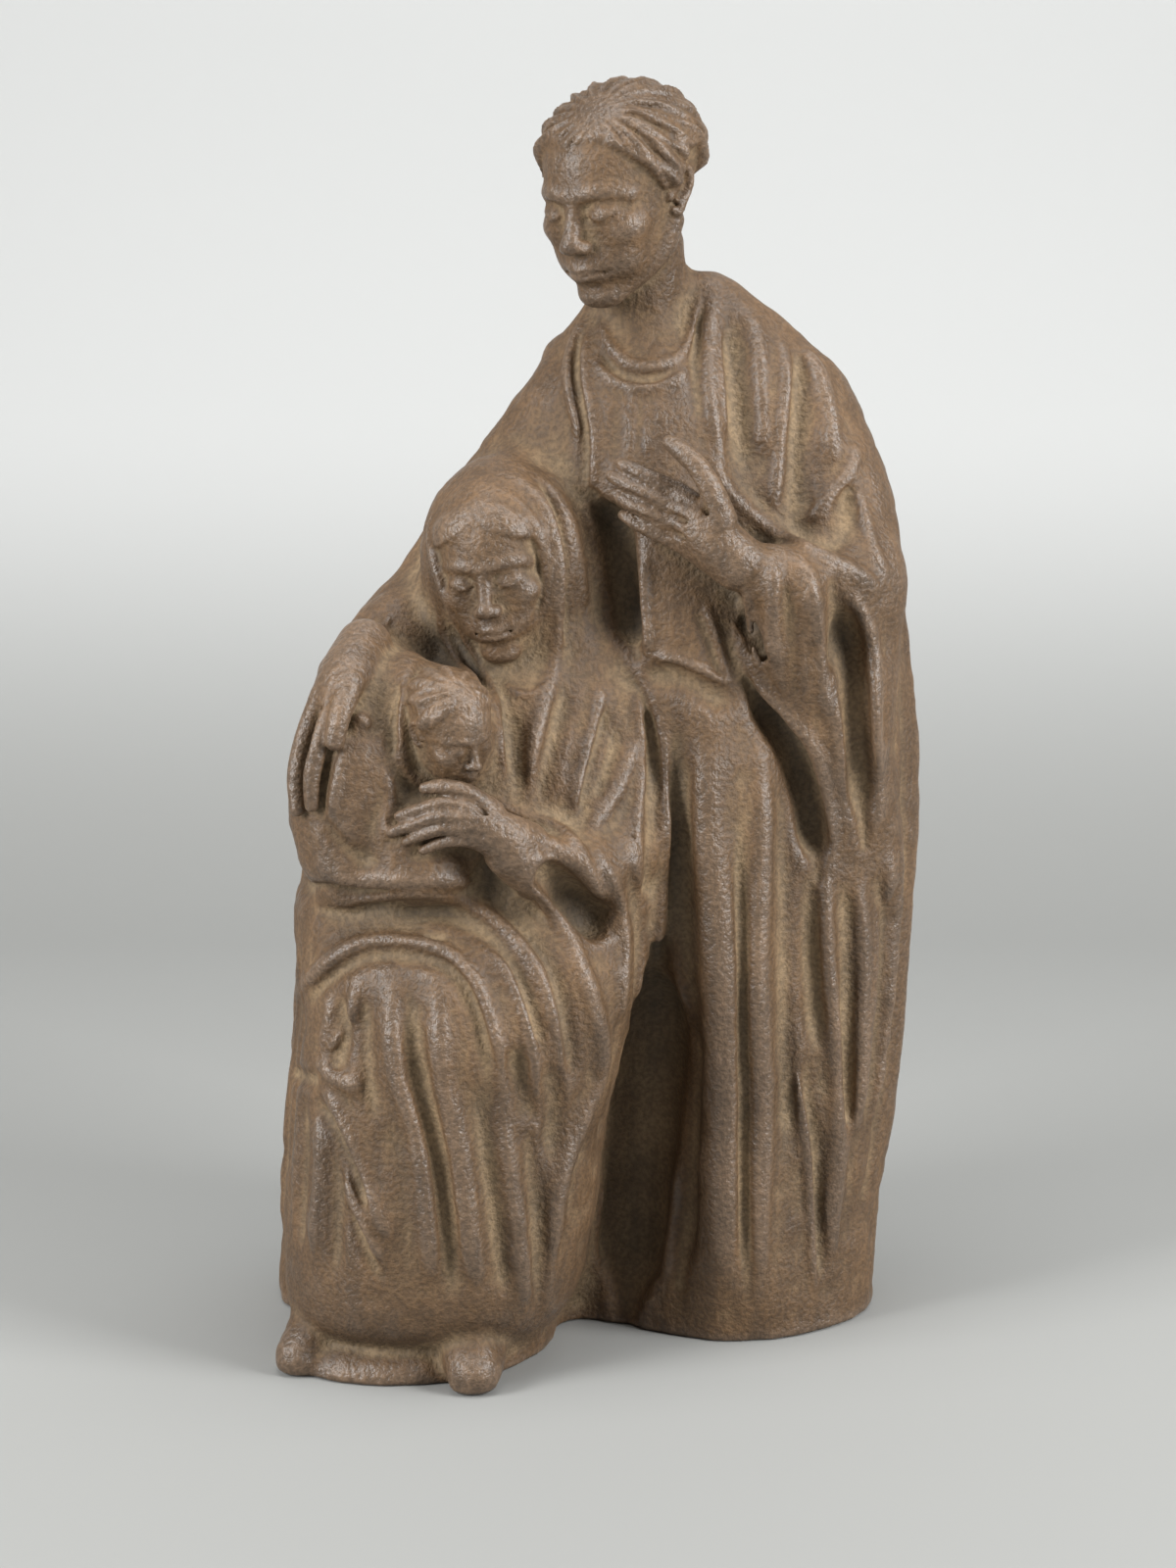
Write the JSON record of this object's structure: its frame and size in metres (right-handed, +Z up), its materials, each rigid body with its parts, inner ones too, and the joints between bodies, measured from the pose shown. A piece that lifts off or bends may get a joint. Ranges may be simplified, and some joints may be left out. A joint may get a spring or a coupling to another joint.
{
  "type": "religious figure group",
  "caption": "Standing devotional group in one piece of brown stoneware: a cloaked man behind a seated veiled woman who holds a swaddled child on her lap, on a flat underside.",
  "frame": {"origin": "middle of the bounding box at the underside, where the group stands on a shelf", "axes": "+Z up along the standing figure, -Y to the front that the figures face, +X to the viewer's right"},
  "size_m": [0.1556, 0.107, 0.3],
  "materials": {
    "stoneware": "unglazed brown stoneware with a thin satin slip, paler and dusty in the recesses"
  },
  "bodies": {
    "root": {"holy_family_group": "stoneware"}
  },
  "joints": []
}
